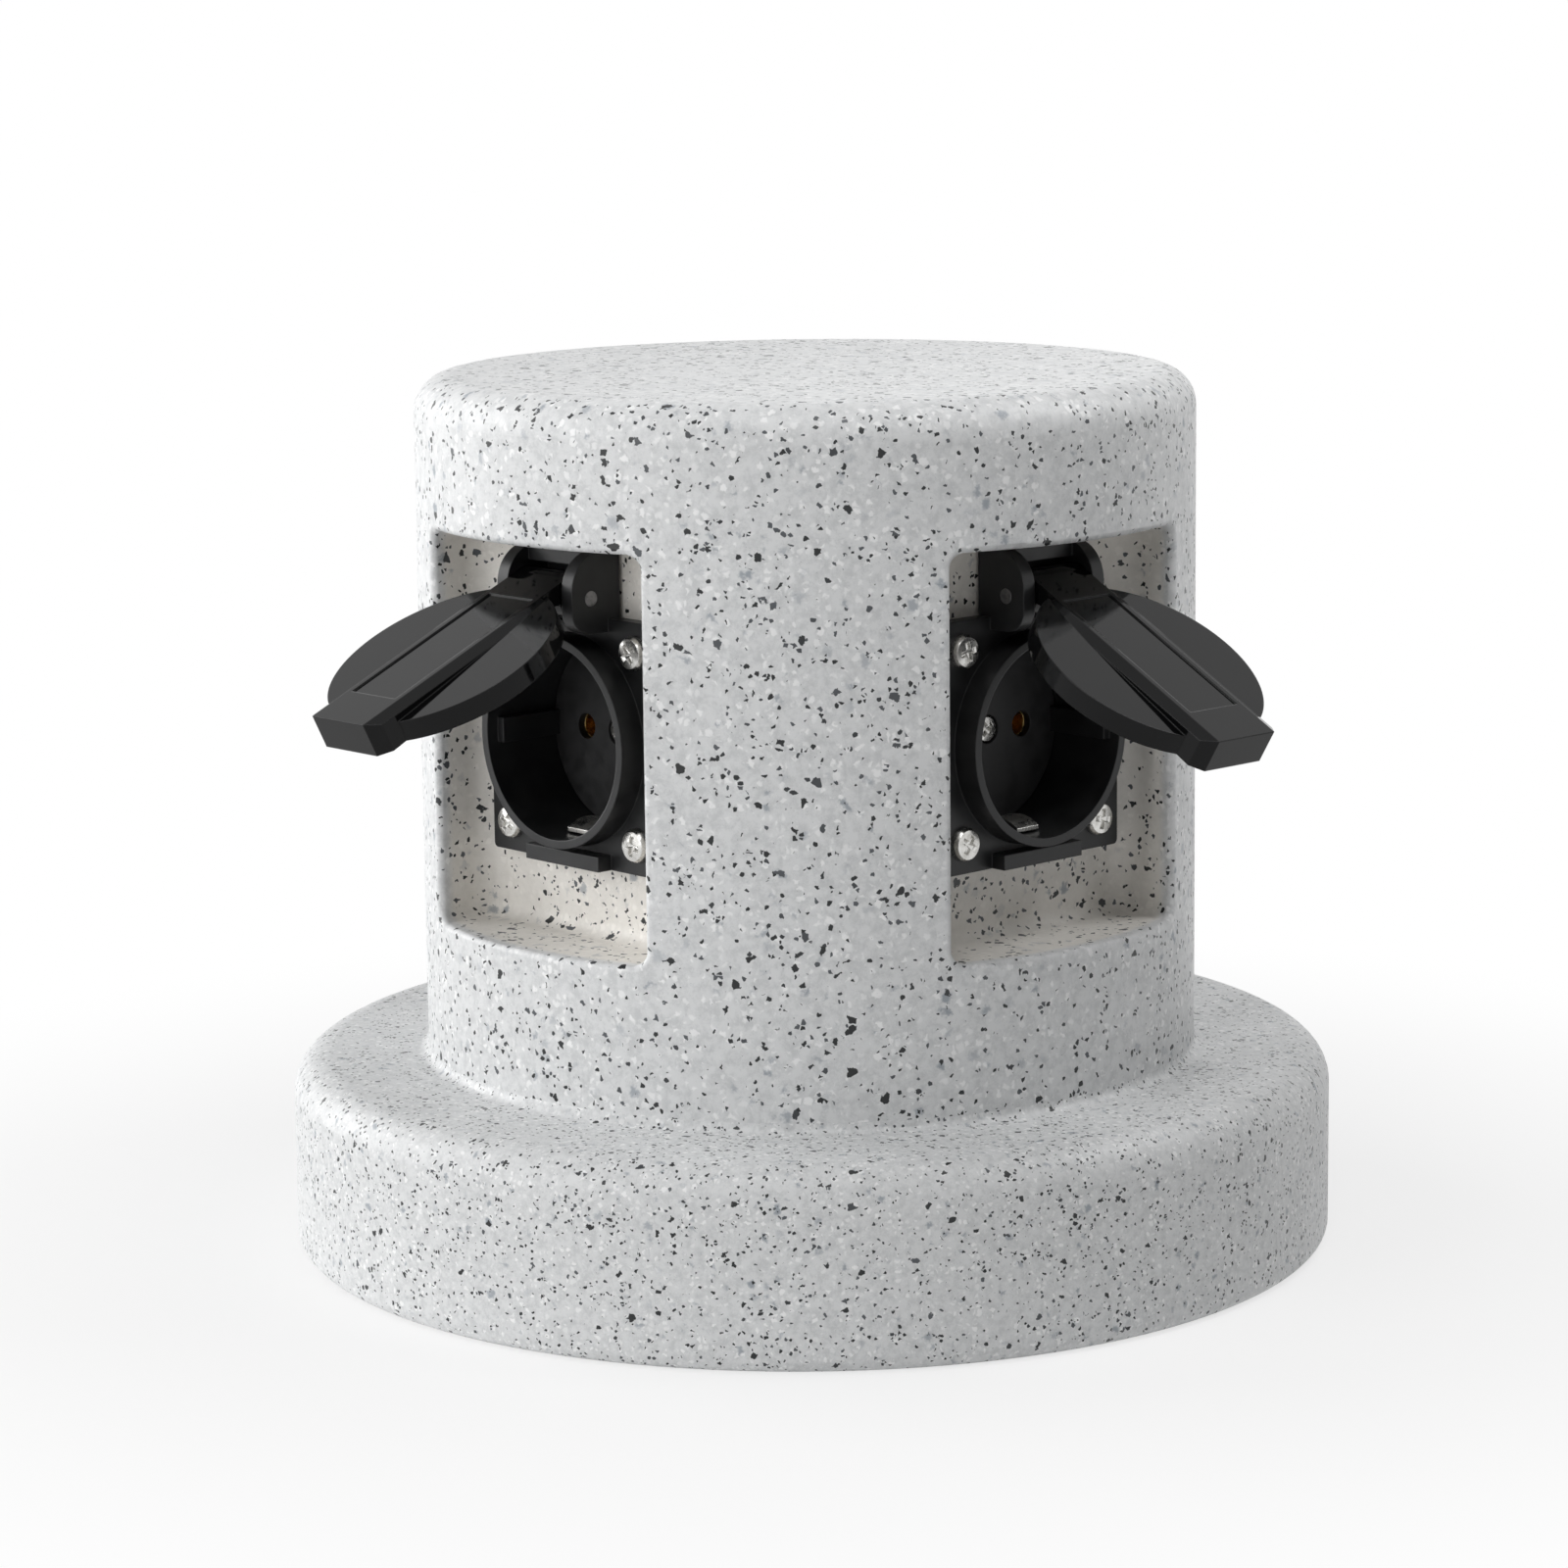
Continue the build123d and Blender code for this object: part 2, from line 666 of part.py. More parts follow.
# Contact sleeves: live and neutral tubes, each with a square clamp behind the carrier
with BuildPart() as contact_sleeves:
    sleeve_front = well_floor - carrier_face_thickness
    with BuildSketch(facing(carrier_back)):
        with Locations((0, socket_height)):
            with GridLocations(contact_pitch, 0, 2, 1):
                Circle(sleeve_radius)
    extrude(amount=sleeve_front - carrier_back)
    with BuildSketch(facing(carrier_back - clamp_reach)):
        with Locations((0, socket_height)):
            with GridLocations(contact_pitch, 0, 2, 1):
                Rectangle(clamp_width, clamp_height)
    extrude(amount=clamp_reach)
    with BuildSketch(facing(carrier_back)):
        with Locations((0, socket_height)):
            with GridLocations(contact_pitch, 0, 2, 1):
                Circle(sleeve_bore_radius)
    extrude(amount=sleeve_front - carrier_back + overrun, mode=Mode.SUBTRACT)

# Earth clip: a U of spring strip behind the carrier, whose arms bow into the well
with BuildPart() as earth_clip:
    clip_back = carrier_back - clip_thickness
    arm = carrier_radius - clip_clearance
    arm_tip = well_floor + clip_reach
    bow_start = well_floor + clip_thickness
    bow_middle = (bow_start + arm_tip) / 2
    with BuildSketch(side_view.offset(-clip_width / 2)):
        with BuildLine():
            for up in (1, -1):
                outer = socket_height + up * arm
                inner = socket_height + up * (arm - clip_thickness)
                bow = up * clip_bow
                Line((clip_back, outer), (bow_start, outer))
                ThreePointArc((bow_start, outer), (bow_middle, outer - bow), (arm_tip, outer))
                Line((arm_tip, outer), (arm_tip, inner))
                ThreePointArc((arm_tip, inner), (bow_middle, inner - bow), (bow_start, inner))
                Line((bow_start, inner), (carrier_back, inner))
            Line((clip_back, socket_height + arm), (clip_back, socket_height - arm))
            Line(
                (carrier_back, socket_height + arm - clip_thickness),
                (carrier_back, socket_height - arm + clip_thickness),
            )
        make_face()
    extrude(amount=clip_width)
    with BuildSketch(facing(carrier_back - clamp_reach)):
        with Locations((0, socket_height - earth_clamp_drop)):
            Rectangle(clamp_width, earth_clamp_height)
    extrude(amount=clamp_reach - clip_thickness)
    with BuildSketch(facing(clip_back - overrun)):
        with Locations((0, socket_height)):
            Circle(carrier_screw_radius + screw_clearance)
    extrude(amount=clip_thickness + 2 * overrun, mode=Mode.SUBTRACT)

# Carrier screw: sunk head in the well's floor, shank through carrier and clip
with BuildPart() as carrier_screw:
    with BuildSketch(facing(well_floor - carrier_screw_head_height)):
        with Locations((0, socket_height)):
            Circle(carrier_screw_head_radius)
    extrude(amount=carrier_screw_head_height)
    with BuildSketch(facing(carrier_back - clip_thickness)):
        with Locations((0, socket_height)):
            Circle(carrier_screw_radius)
    extrude(amount=carrier_depth + clip_thickness - carrier_screw_head_height)

# Lid, drawn closed: a skirted disc hung from the pin, with a bevelled bar across it that
# rises to the grip at its lower end
with BuildPart() as lid:
    bar_slope = (bar_rise_at_end - bar_rise_at_start) / (bar_end - bar_start)
    bar_rise_at_pin = bar_rise_at_start - bar_slope * bar_start
    bar_tip = pin_height - bar_end
    with BuildSketch(side_view.offset(-bar_width / 2)):
        with BuildLine():
            Polyline(
                (lid_rim, bar_tip),
                (pin_distance + bar_rise_at_end, bar_tip),
                (pin_distance + bar_rise_at_start, pin_height - bar_start),
                (lid_rim, pin_height - bar_start),
                close=True,
            )
        make_face()
    extrude(amount=bar_width)
    chamfer(lid.edges().filter_by(Axis.Y).group_by(Axis.Z)[0], length=bar_bevel_width)
    bar_face = lid.faces().sort_by(Axis.Y)[0]
    bar_sides = bar_face.edges().sort_by(SortBy.LENGTH)[-2:]
    chamfer(bar_sides, length=bar_bevel_width, length2=bar_bevel_depth, reference=bar_face)
    with BuildSketch(facing(lid_rim)):
        with Locations((0, socket_height)):
            Circle(lid_radius)
    extrude(amount=lid_skirt_height)
    # Narrow neck of the bar between the ears, round the pin
    knuckle_width = 2 * (ear_inner - knuckle_clearance)
    with BuildSketch(side_view.offset(-knuckle_width / 2)):
        neck_end = pin_height - bar_start - overrun
        with BuildLine():
            Polyline(
                (lid_inside, neck_end),
                (pin_distance + bar_rise_at_start, neck_end),
                (pin_distance + bar_rise_at_start, pin_height - bar_start),
                (pin_distance + bar_rise_at_pin, pin_height),
                (pin_distance, pin_height),
                close=True,
            )
        make_face()
        with Locations((pin_distance, pin_height)):
            Circle(barrel_radius)
    extrude(amount=knuckle_width)
    # Sunken panel along the bar
    with BuildSketch(side_view.offset(-panel_width / 2)):
        panel_span = (bar_start + panel_margin, bar_end - panel_end_margin)
        top_rise, low_rise = (pin_distance + bar_rise_at_pin + bar_slope * along for along in panel_span)
        with BuildLine():
            Polyline(
                (top_rise - panel_depth, pin_height - panel_span[0]),
                (top_rise + overrun, pin_height - panel_span[0]),
                (low_rise + overrun, pin_height - panel_span[1]),
                (low_rise - panel_depth, pin_height - panel_span[1]),
                close=True,
            )
        make_face()
    extrude(amount=panel_width, mode=Mode.SUBTRACT)
    # Hollow of the disc, in which the collar stands
    with BuildSketch(facing(lid_rim - overrun)):
        with Locations((0, socket_height)):
            Circle(lid_radius - lid_skirt_thickness)
    extrude(amount=lid_inside - lid_rim + overrun, mode=Mode.SUBTRACT)
    with BuildSketch(side_view.offset(-knuckle_width / 2 - overrun)):
        with Locations((pin_distance, pin_height)):
            Circle(pin_radius + pin_clearance)
    extrude(amount=knuckle_width + 2 * overrun, mode=Mode.SUBTRACT)

# Lid seal: flat rubber ring behind the disc
with BuildPart() as lid_seal:
    with BuildSketch(facing(lid_inside - seal_thickness)):
        with Locations((0, socket_height)):
            Circle(lid_radius - lid_skirt_thickness)
            Circle(well_radius - seal_overlap, mode=Mode.SUBTRACT)
    extrude(amount=seal_thickness)

# The four sockets: the same pieces turned to each side, their lids swung open on the pin
fixed_pieces = {
    "socket_body": socket_body,
    "flange_gasket": flange_gasket,
    "flange_screws": flange_screws,
    "hinge_pin": hinge_pin,
    "contact_carrier": contact_carrier,
    "contact_sleeves": contact_sleeves,
    "earth_clip": earth_clip,
    "carrier_screw": carrier_screw,
}
swinging_pieces = {"lid": lid, "lid_seal": lid_seal}
hinge_axis = Axis((0, -pin_distance, pin_height), (-1, 0, 0))
for side, turn in sides.items():
    for name, piece in fixed_pieces.items():
        write(piece.part.rotate(Axis.Z, turn), f"{name}_{side}")
    for name, piece in swinging_pieces.items():
        swung = piece.part.rotate(hinge_axis, open_angles[side])
        write(swung.rotate(Axis.Z, turn), f"{name}_{side}")
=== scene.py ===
from math import atan2, cos, pi, radians, sin

import bmesh
import bpy
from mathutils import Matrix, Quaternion, Vector


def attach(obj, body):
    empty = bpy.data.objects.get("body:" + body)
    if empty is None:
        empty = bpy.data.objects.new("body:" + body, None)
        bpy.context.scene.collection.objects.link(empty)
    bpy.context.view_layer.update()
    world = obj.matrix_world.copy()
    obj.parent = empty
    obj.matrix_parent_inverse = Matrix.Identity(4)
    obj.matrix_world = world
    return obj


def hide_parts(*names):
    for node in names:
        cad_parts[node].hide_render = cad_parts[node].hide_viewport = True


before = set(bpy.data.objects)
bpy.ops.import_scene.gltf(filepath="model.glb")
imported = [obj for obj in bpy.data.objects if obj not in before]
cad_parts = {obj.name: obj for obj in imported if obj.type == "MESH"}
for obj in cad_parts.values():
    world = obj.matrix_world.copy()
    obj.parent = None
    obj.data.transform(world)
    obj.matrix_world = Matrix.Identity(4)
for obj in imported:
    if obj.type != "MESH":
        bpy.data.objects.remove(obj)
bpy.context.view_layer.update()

# ---- Post housing ----
# One hollow rotational moulding in granite-look polyethylene: a milky, faintly blue-grey plastic
# with soft white flecks, angular black chips at its surface and blurred grey ones underneath it.
# The base is cast with finer chips than the drum, and the recess walls get a painted warm light: a
# paler, warmer tone.

STONE_MILK = (0.775, 0.783, 0.787, 1)
STONE_CLOUD = (0.590, 0.600, 0.606, 1)
STONE_FLECK = (0.975, 0.977, 0.978, 1)
# Painted warm light for the recess walls, not a colour of the plastic
STONE_RECESS_LIGHT = (0.930, 0.880, 0.800, 1)
CHIP_BLACK = (0.008, 0.009, 0.010, 1)
CHIP_GREY = (0.085, 0.092, 0.102, 1)
CHIP_SUNK = (0.250, 0.285, 0.330, 1)
CHIP_GLOSS = 0.08
STONE_GRAIN_DEPTH = 0.05
CLOUD_SHARE = 0.75
RECESS_LIGHT_SHARE = 0.60
RECESS_LIGHT_FADE = 2.5
BASE_TOP = 41.5
BASE_FINENESS = 1.45
RECESS_MOUTH = 78.5
RECESS_BOTTOM = 60.0
RECESS_TOP = 151.0
MILLIMETRES = 1000.0  # in a metre


def new_material(name, **sockets):
    """A material with one Principled shader, its constant sockets set by name."""
    material = bpy.data.materials.new(name)
    material.use_nodes = True
    shader = material.node_tree.nodes["Principled BSDF"]
    for socket, value in sockets.items():
        shader.inputs[socket.replace("_", " ")].default_value = value
    return material, shader


def add_node(tree, kind, **settings):
    """A shader node of this kind, with its own settings and input values."""
    node = tree.nodes.new(kind)
    values = settings.pop("inputs", {})
    for name, value in settings.items():
        setattr(node, name, value)
    for name, value in values.items():
        node.inputs[name].default_value = value
    return node


def feed(tree, socket, value):
    """Set an input to a number, a vector or a colour, or link it to another node's output."""
    if isinstance(value, (int, float, tuple)):
        socket.default_value = value
    else:
        tree.links.new(value, socket)


def calculate(tree, operation, *values):
    """A Math node; each value is a number or an output."""
    node = add_node(tree, "ShaderNodeMath", operation=operation)
    for socket, value in zip(node.inputs, values):
        feed(tree, socket, value)
    return node.outputs[0]


def ramp(tree, value, low, high, bottom=0.0, top=1.0):
    """A smooth step of value from low to high, giving bottom to top."""
    node = add_node(tree, "ShaderNodeMapRange", interpolation_type="SMOOTHSTEP")
    sockets = ("Value", "From Min", "From Max", "To Min", "To Max")
    for socket, number in zip(sockets, (value, low, high, bottom, top)):
        feed(tree, node.inputs[socket], number)
    return node.outputs["Result"]


def blend_colours(tree, share, first, second):
    """A mix of two colours; share, first and second are values or outputs."""
    node = add_node(tree, "ShaderNodeMix", data_type="RGBA")
    feed(tree, node.inputs[0], share)
    feed(tree, node.inputs[6], first)
    feed(tree, node.inputs[7], second)
    return node.outputs[2]


def vectors(tree, operation, first, second):
    """A Vector Math node on two vectors, or on a vector and a scale."""
    node = add_node(tree, "ShaderNodeVectorMath", operation=operation)
    feed(tree, node.inputs[0], first)
    feed(tree, node.inputs["Scale" if operation == "SCALE" else 1], second)
    return node.outputs["Value" if operation == "DOT_PRODUCT" else "Vector"]


def new_group(name, inputs, outputs):
    """An empty shader node group: each input has its value, or None for a vector."""
    tree = bpy.data.node_groups.new(name, "ShaderNodeTree")
    for socket, value in inputs.items():
        kind = "NodeSocketVector" if value is None else "NodeSocketFloat"
        made = tree.interface.new_socket(name=socket, in_out="INPUT", socket_type=kind)
        if value is not None:
            made.default_value = value
    for socket, kind in outputs.items():
        tree.interface.new_socket(name=socket, in_out="OUTPUT", socket_type=kind)
    inside = tree.nodes.new("NodeGroupInput").outputs
    return tree, inside, tree.nodes.new("NodeGroupOutput").inputs


def use_group(tree, group, **values):
    """The outputs of one node group, placed in a material with its own values."""
    node = add_node(tree, "ShaderNodeGroup", node_tree=group)
    for socket, value in values.items():
        feed(tree, node.inputs[socket.replace("_", " ")], value)
    return node.outputs


# Chips: angular grains strewn through the plastic and cut open where they meet the surface.
# Spacing, Smallest cut, Raggedness and Softness are millimetres; Share is how many cells hold one.
chips_group, chips_in, chips_out = new_group(
    "Chips",
    {
        "Place": None,
        "Spacing": 2.0,
        "Share": 0.05,
        "Raggedness": 0.5,
        "Softness": 0.1,
        "Smallest cut": 0.1,
    },
    {"Mask": "NodeSocketFloat", "Tone": "NodeSocketFloat"},
)
LARGEST_CUT = 0.22  # of the spacing
tree = chips_group
wobble = add_node(tree, "ShaderNodeTexNoise", inputs={"Scale": 1.2, "Detail": 2.0})
tree.links.new(chips_in["Place"], wobble.inputs["Vector"])
centred = vectors(tree, "SUBTRACT", wobble.outputs["Color"], (0.5, 0.5, 0.5))
pushed = vectors(tree, "SCALE", centred, chips_in["Raggedness"])
strewn = vectors(tree, "ADD", chips_in["Place"], pushed)
spread = vectors(tree, "SCALE", strewn, calculate(tree, "DIVIDE", 1.0, chips_in["Spacing"]))
grains = add_node(tree, "ShaderNodeTexVoronoi", inputs={"Scale": 1.0})
grain_edges = add_node(
    tree, "ShaderNodeTexVoronoi", feature="DISTANCE_TO_EDGE", inputs={"Scale": 1.0}
)
tree.links.new(spread, grains.inputs["Vector"])
tree.links.new(spread, grain_edges.inputs["Vector"])
lots = add_node(tree, "ShaderNodeSeparateColor")
tree.links.new(grains.outputs["Color"], lots.inputs[0])
from_edge = calculate(tree, "MULTIPLY", grain_edges.outputs["Distance"], chips_in["Spacing"])
cut_share = calculate(tree, "MULTIPLY", lots.outputs["Green"], LARGEST_CUT)
worn_off = calculate(tree, "MULTIPLY", cut_share, chips_in["Spacing"])
cut_at = calculate(tree, "ADD", chips_in["Smallest cut"], worn_off)
inside = ramp(tree, from_edge, cut_at, calculate(tree, "ADD", cut_at, chips_in["Softness"]))
present = calculate(tree, "LESS_THAN", lots.outputs["Red"], chips_in["Share"])
tree.links.new(calculate(tree, "MULTIPLY", inside, present), chips_out["Mask"])
tree.links.new(lots.outputs["Blue"], chips_out["Tone"])

# Mould grain: the fine grain and faint waves of a moulded surface; Grain and Wave are millimetres
mould_group, mould_in, mould_out = new_group(
    "Mould grain",
    {"Place": None, "Grain": 1.0, "Wave": 12.0},
    {"Height": "NodeSocketFloat", "Patches": "NodeSocketFloat"},
)
tree = mould_group
fine = add_node(tree, "ShaderNodeTexNoise", inputs={"Detail": 3.0, "Roughness": 0.55})
wavy = add_node(tree, "ShaderNodeTexNoise", inputs={"Detail": 2.0})
for noise, size in ((fine, "Grain"), (wavy, "Wave")):
    tree.links.new(mould_in["Place"], noise.inputs["Vector"])
    tree.links.new(calculate(tree, "DIVIDE", 1.0, mould_in[size]), noise.inputs["Scale"])
swell = calculate(tree, "MULTIPLY", wavy.outputs[0], 2.0)
tree.links.new(calculate(tree, "ADD", fine.outputs[0], swell), mould_out["Height"])
tree.links.new(wavy.outputs[0], mould_out["Patches"])


def place_in_millimetres(tree):
    """The place on the object, in millimetres."""
    where = add_node(tree, "ShaderNodeTexCoord")
    return vectors(tree, "SCALE", where.outputs["Object"], MILLIMETRES)


def height_and_distance(tree, place):
    """How high a place is, and how far it is from the post's axis."""
    across = add_node(tree, "ShaderNodeSeparateXYZ")
    tree.links.new(place, across.inputs[0])
    plan_x, plan_y, height = across.outputs
    squares = calculate(
        tree, "MULTIPLY_ADD", plan_x, plan_x, calculate(tree, "MULTIPLY", plan_y, plan_y)
    )
    return height, calculate(tree, "SQRT", squares)


def add_bump(tree, shader, height, distance, normal=None):
    """Bump the shader's surface; distance is in millimetres."""
    bump = add_node(tree, "ShaderNodeBump", inputs={"Distance": distance / MILLIMETRES})
    tree.links.new(height, bump.inputs["Height"])
    if normal:
        tree.links.new(normal, bump.inputs["Normal"])
    tree.links.new(bump.outputs[0], shader.inputs["Normal"])


def dress(name, material):
    """Give one CAD node its material."""
    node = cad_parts[name]
    if not node.material_slots:
        node.data.materials.append(material)
    for slot in node.material_slots:
        slot.material = material


stone, stone_shader = new_material("Granite-look polyethylene", Specular_IOR_Level=0.45)
tree = stone.node_tree
place = place_in_millimetres(tree)
height, from_axis = height_and_distance(tree, place)
in_base = calculate(tree, "LESS_THAN", height, BASE_TOP)
strewing = vectors(tree, "SCALE", place, ramp(tree, in_base, 0, 1, bottom=1.0, top=BASE_FINENESS))

big_chips = use_group(
    tree,
    chips_group,
    Place=strewing,
    Spacing=1.75,
    Share=0.058,
    Raggedness=0.9,
    Softness=0.08,
    Smallest_cut=0.10,
)
small_chips = use_group(
    tree,
    chips_group,
    Place=strewing,
    Spacing=0.95,
    Share=0.125,
    Raggedness=0.6,
    Softness=0.05,
    Smallest_cut=0.03,
)
sunk_chips = use_group(
    tree,
    chips_group,
    Place=strewing,
    Spacing=2.6,
    Share=0.150,
    Raggedness=1.6,
    Softness=0.80,
    Smallest_cut=0.02,
)
flecks = use_group(
    tree,
    chips_group,
    Place=strewing,
    Spacing=1.6,
    Share=0.420,
    Raggedness=1.0,
    Softness=0.32,
    Smallest_cut=0.02,
)
stone_grain = use_group(tree, mould_group, Place=place, Grain=1.4, Wave=14.0)
cloud = add_node(
    tree, "ShaderNodeTexNoise", inputs={"Scale": 0.40, "Detail": 5.0, "Roughness": 0.75}
)
tree.links.new(strewing, cloud.inputs["Vector"])

cloudiness = ramp(tree, cloud.outputs[0], 0.40, 0.66, top=CLOUD_SHARE)
ground = blend_colours(tree, cloudiness, STONE_MILK, STONE_CLOUD)
fleck_tone = ramp(tree, flecks["Tone"], 0, 1, bottom=0.35, top=0.95)
fleck_share = calculate(tree, "MULTIPLY", flecks["Mask"], fleck_tone)
flecked = blend_colours(tree, fleck_share, ground, STONE_FLECK)
# Painted light: inside the mouth, between the recess bottom and top, the walls are blended towards
# a paler warm tone
faded_from = RECESS_MOUTH - RECESS_LIGHT_FADE
behind_mouth = ramp(tree, from_axis, faded_from, RECESS_MOUTH, bottom=RECESS_LIGHT_SHARE, top=0.0)
over_bottom = ramp(tree, height, RECESS_BOTTOM, RECESS_BOTTOM + 1.0)
under_top = ramp(tree, height, RECESS_TOP, RECESS_TOP + 2.0, bottom=1.0, top=0.0)
at_height = calculate(tree, "MULTIPLY", over_bottom, under_top)
painted_recess_light = calculate(tree, "MULTIPLY", behind_mouth, at_height)
with_recess_light = blend_colours(tree, painted_recess_light, flecked, STONE_RECESS_LIGHT)
veil_tone = ramp(tree, sunk_chips["Tone"], 0, 1, bottom=0.25, top=0.8)
veil = calculate(tree, "MULTIPLY", sunk_chips["Mask"], veil_tone)
veiled = blend_colours(tree, veil, with_recess_light, CHIP_SUNK)
small_tone = blend_colours(tree, ramp(tree, small_chips["Tone"], 0.35, 0.9), CHIP_BLACK, CHIP_GREY)
big_tone = blend_colours(tree, ramp(tree, big_chips["Tone"], 0.55, 1.0), CHIP_BLACK, CHIP_GREY)
peppered = blend_colours(tree, small_chips["Mask"], veiled, small_tone)
colour = blend_colours(tree, big_chips["Mask"], peppered, big_tone)
tree.links.new(colour, stone_shader.inputs["Base Color"])
chipped = calculate(tree, "MAXIMUM", big_chips["Mask"], small_chips["Mask"])
chip_gloss = calculate(tree, "MULTIPLY", chipped, CHIP_GLOSS)
dullness = ramp(tree, stone_grain["Patches"], 0.3, 0.7, bottom=0.40, top=0.54)
tree.links.new(
    calculate(tree, "SUBTRACT", dullness, chip_gloss), stone_shader.inputs["Roughness"]
)
add_bump(tree, stone_shader, stone_grain["Height"], STONE_GRAIN_DEPTH)
dress("post_housing", stone)

# ---- Base plate ----
# A ribbed disc of black recycled polypropylene set into the open base, matt and slightly streaky,
# its edges rubbed paler. Four nickel-plated cross-head screws hold it, sunk in counterbores.

# Softened edge: a surface turned over an edge of this radius in millimetres, and where it is worn
edge_group, edge_in, edge_out = new_group(
    "Softened edge", {"Radius": 0.3}, {"Normal": "NodeSocketVector", "Wear": "NodeSocketFloat"}
)
tree = edge_group
turned = add_node(tree, "ShaderNodeBevel", samples=6)
tree.links.new(calculate(tree, "DIVIDE", edge_in["Radius"], MILLIMETRES), turned.inputs["Radius"])
flat = add_node(tree, "ShaderNodeNewGeometry")
agreement = vectors(tree, "DOT_PRODUCT", turned.outputs["Normal"], flat.outputs["Normal"])
tree.links.new(turned.outputs["Normal"], edge_out["Normal"])
tree.links.new(ramp(tree, agreement, 0.80, 0.995, bottom=1.0, top=0.0), edge_out["Wear"])

LEAST_RUBBED = 0.125
MOST_RUBBED = 0.5


def moulded_plastic(name, colour, cloudy, rubbed, grain, wave, depth, gloss, edge, **sockets):
    """A moulded plastic or rubber: two clouded tones, grain, and softened edges rubbed paler."""
    material, shader = new_material(name, **sockets)
    tree = material.node_tree
    place = place_in_millimetres(tree)
    skin = use_group(tree, mould_group, Place=place, Grain=grain, Wave=wave)
    softened = use_group(tree, edge_group, Radius=edge)
    clouds = blend_colours(tree, ramp(tree, skin["Patches"], 0.32, 0.68), colour, cloudy)
    raised = ramp(tree, skin["Height"], 1.2, 1.8, bottom=LEAST_RUBBED, top=MOST_RUBBED)
    rubbing = calculate(tree, "MULTIPLY", softened["Wear"], raised)
    tree.links.new(blend_colours(tree, rubbing, clouds, rubbed), shader.inputs["Base Color"])
    tree.links.new(ramp(tree, skin["Patches"], 0.3, 0.7, *gloss), shader.inputs["Roughness"])
    add_bump(tree, shader, skin["Height"], depth, softened["Normal"])
    return material


plate_plastic = moulded_plastic(
    "Base plate plastic",
    colour=(0.020, 0.020, 0.021, 1),
    cloudy=(0.030, 0.030, 0.030, 1),
    rubbed=(0.070, 0.069, 0.067, 1),
    grain=0.5,
    wave=18.0,
    depth=0.05,
    gloss=(0.50, 0.66),
    edge=0.4,
)
dress("base_plate", plate_plastic)

# Tarnish: faint blotches with fine lines drawn along one direction; sizes are millimetres
tarnish_group, tarnish_in, tarnish_out = new_group(
    "Tarnish",
    {"Place": None, "Blotch": 3.0, "Line": 0.08},
    {"Blotches": "NodeSocketFloat", "Lines": "NodeSocketFloat"},
)
tree = tarnish_group
blotches = add_node(tree, "ShaderNodeTexNoise", inputs={"Detail": 4.0, "Roughness": 0.6})
lines = add_node(tree, "ShaderNodeTexNoise", inputs={"Detail": 2.0})
drawn_out = add_node(tree, "ShaderNodeMapping", inputs={"Scale": (1.0, 1.0, 0.06)})
tree.links.new(tarnish_in["Place"], blotches.inputs["Vector"])
tree.links.new(tarnish_in["Place"], drawn_out.inputs["Vector"])
tree.links.new(drawn_out.outputs[0], lines.inputs["Vector"])
tree.links.new(calculate(tree, "DIVIDE", 1.0, tarnish_in["Blotch"]), blotches.inputs["Scale"])
tree.links.new(calculate(tree, "DIVIDE", 1.0, tarnish_in["Line"]), lines.inputs["Scale"])
tree.links.new(blotches.outputs[0], tarnish_out["Blotches"])
tree.links.new(lines.outputs[0], tarnish_out["Lines"])

DRAWN_LINE_DEPTH = 0.004
CLEAN_EDGE_SHARE = 0.6


def bare_metal(name, colour, dull, blotch, line, gloss, edge):
    """A metal with faint tarnish and drawn lines; its edges are turned over and stay clean."""
    material, shader = new_material(name, Metallic=1.0)
    tree = material.node_tree
    place = place_in_millimetres(tree)
    tarnish = use_group(tree, tarnish_group, Place=place, Blotch=blotch, Line=line)
    softened = use_group(tree, edge_group, Radius=edge)
    dulled = blend_colours(tree, ramp(tree, tarnish["Blotches"], 0.40, 0.70), colour, dull)
    cleaned = calculate(tree, "MULTIPLY", softened["Wear"], CLEAN_EDGE_SHARE)
    tree.links.new(blend_colours(tree, cleaned, dulled, colour), shader.inputs["Base Color"])
    blotched = ramp(tree, tarnish["Blotches"], 0.35, 0.7, *gloss)
    lined = ramp(tree, tarnish["Lines"], 0.3, 0.7, bottom=-0.03, top=0.05)
    tree.links.new(calculate(tree, "ADD", blotched, lined), shader.inputs["Roughness"])
    add_bump(tree, shader, tarnish["Lines"], DRAWN_LINE_DEPTH, softened["Normal"])
    return material


screw_steel = bare_metal(
    "Nickel-plated steel",
    colour=(0.640, 0.635, 0.615, 1),
    dull=(0.500, 0.490, 0.465, 1),
    blotch=1.6,
    line=0.10,
    gloss=(0.20, 0.34),
    edge=0.12,
)

# A screw's shape, in shares of its head's radius, its head's height and its shank's radius
CROSS_HALF_WIDTH = 0.17
CROSS_REACH = 0.58
CROSS_LIP = 0.03
CROSS_EDGE_DROP = 0.02
CROSS_WALL_DEPTH = 0.40
CROSS_FLOOR_DEPTH = 0.55
CROSS_MIDDLE_HEIGHT = 0.42
HEAD_FLAT_RADIUS = 0.86
HEAD_SIDE = ((0.95, 0.80), (0.99, 0.58), (1.0, 0.36), (1.0, 0.04), (0.985, 0.0))
HEAD_STEPS = 6
THREAD_ROOT = 0.80
TIP_RADIUS = 0.55
THREAD_PITCH = 1.1  # millimetres
HEAD_CREASE = radians(38)


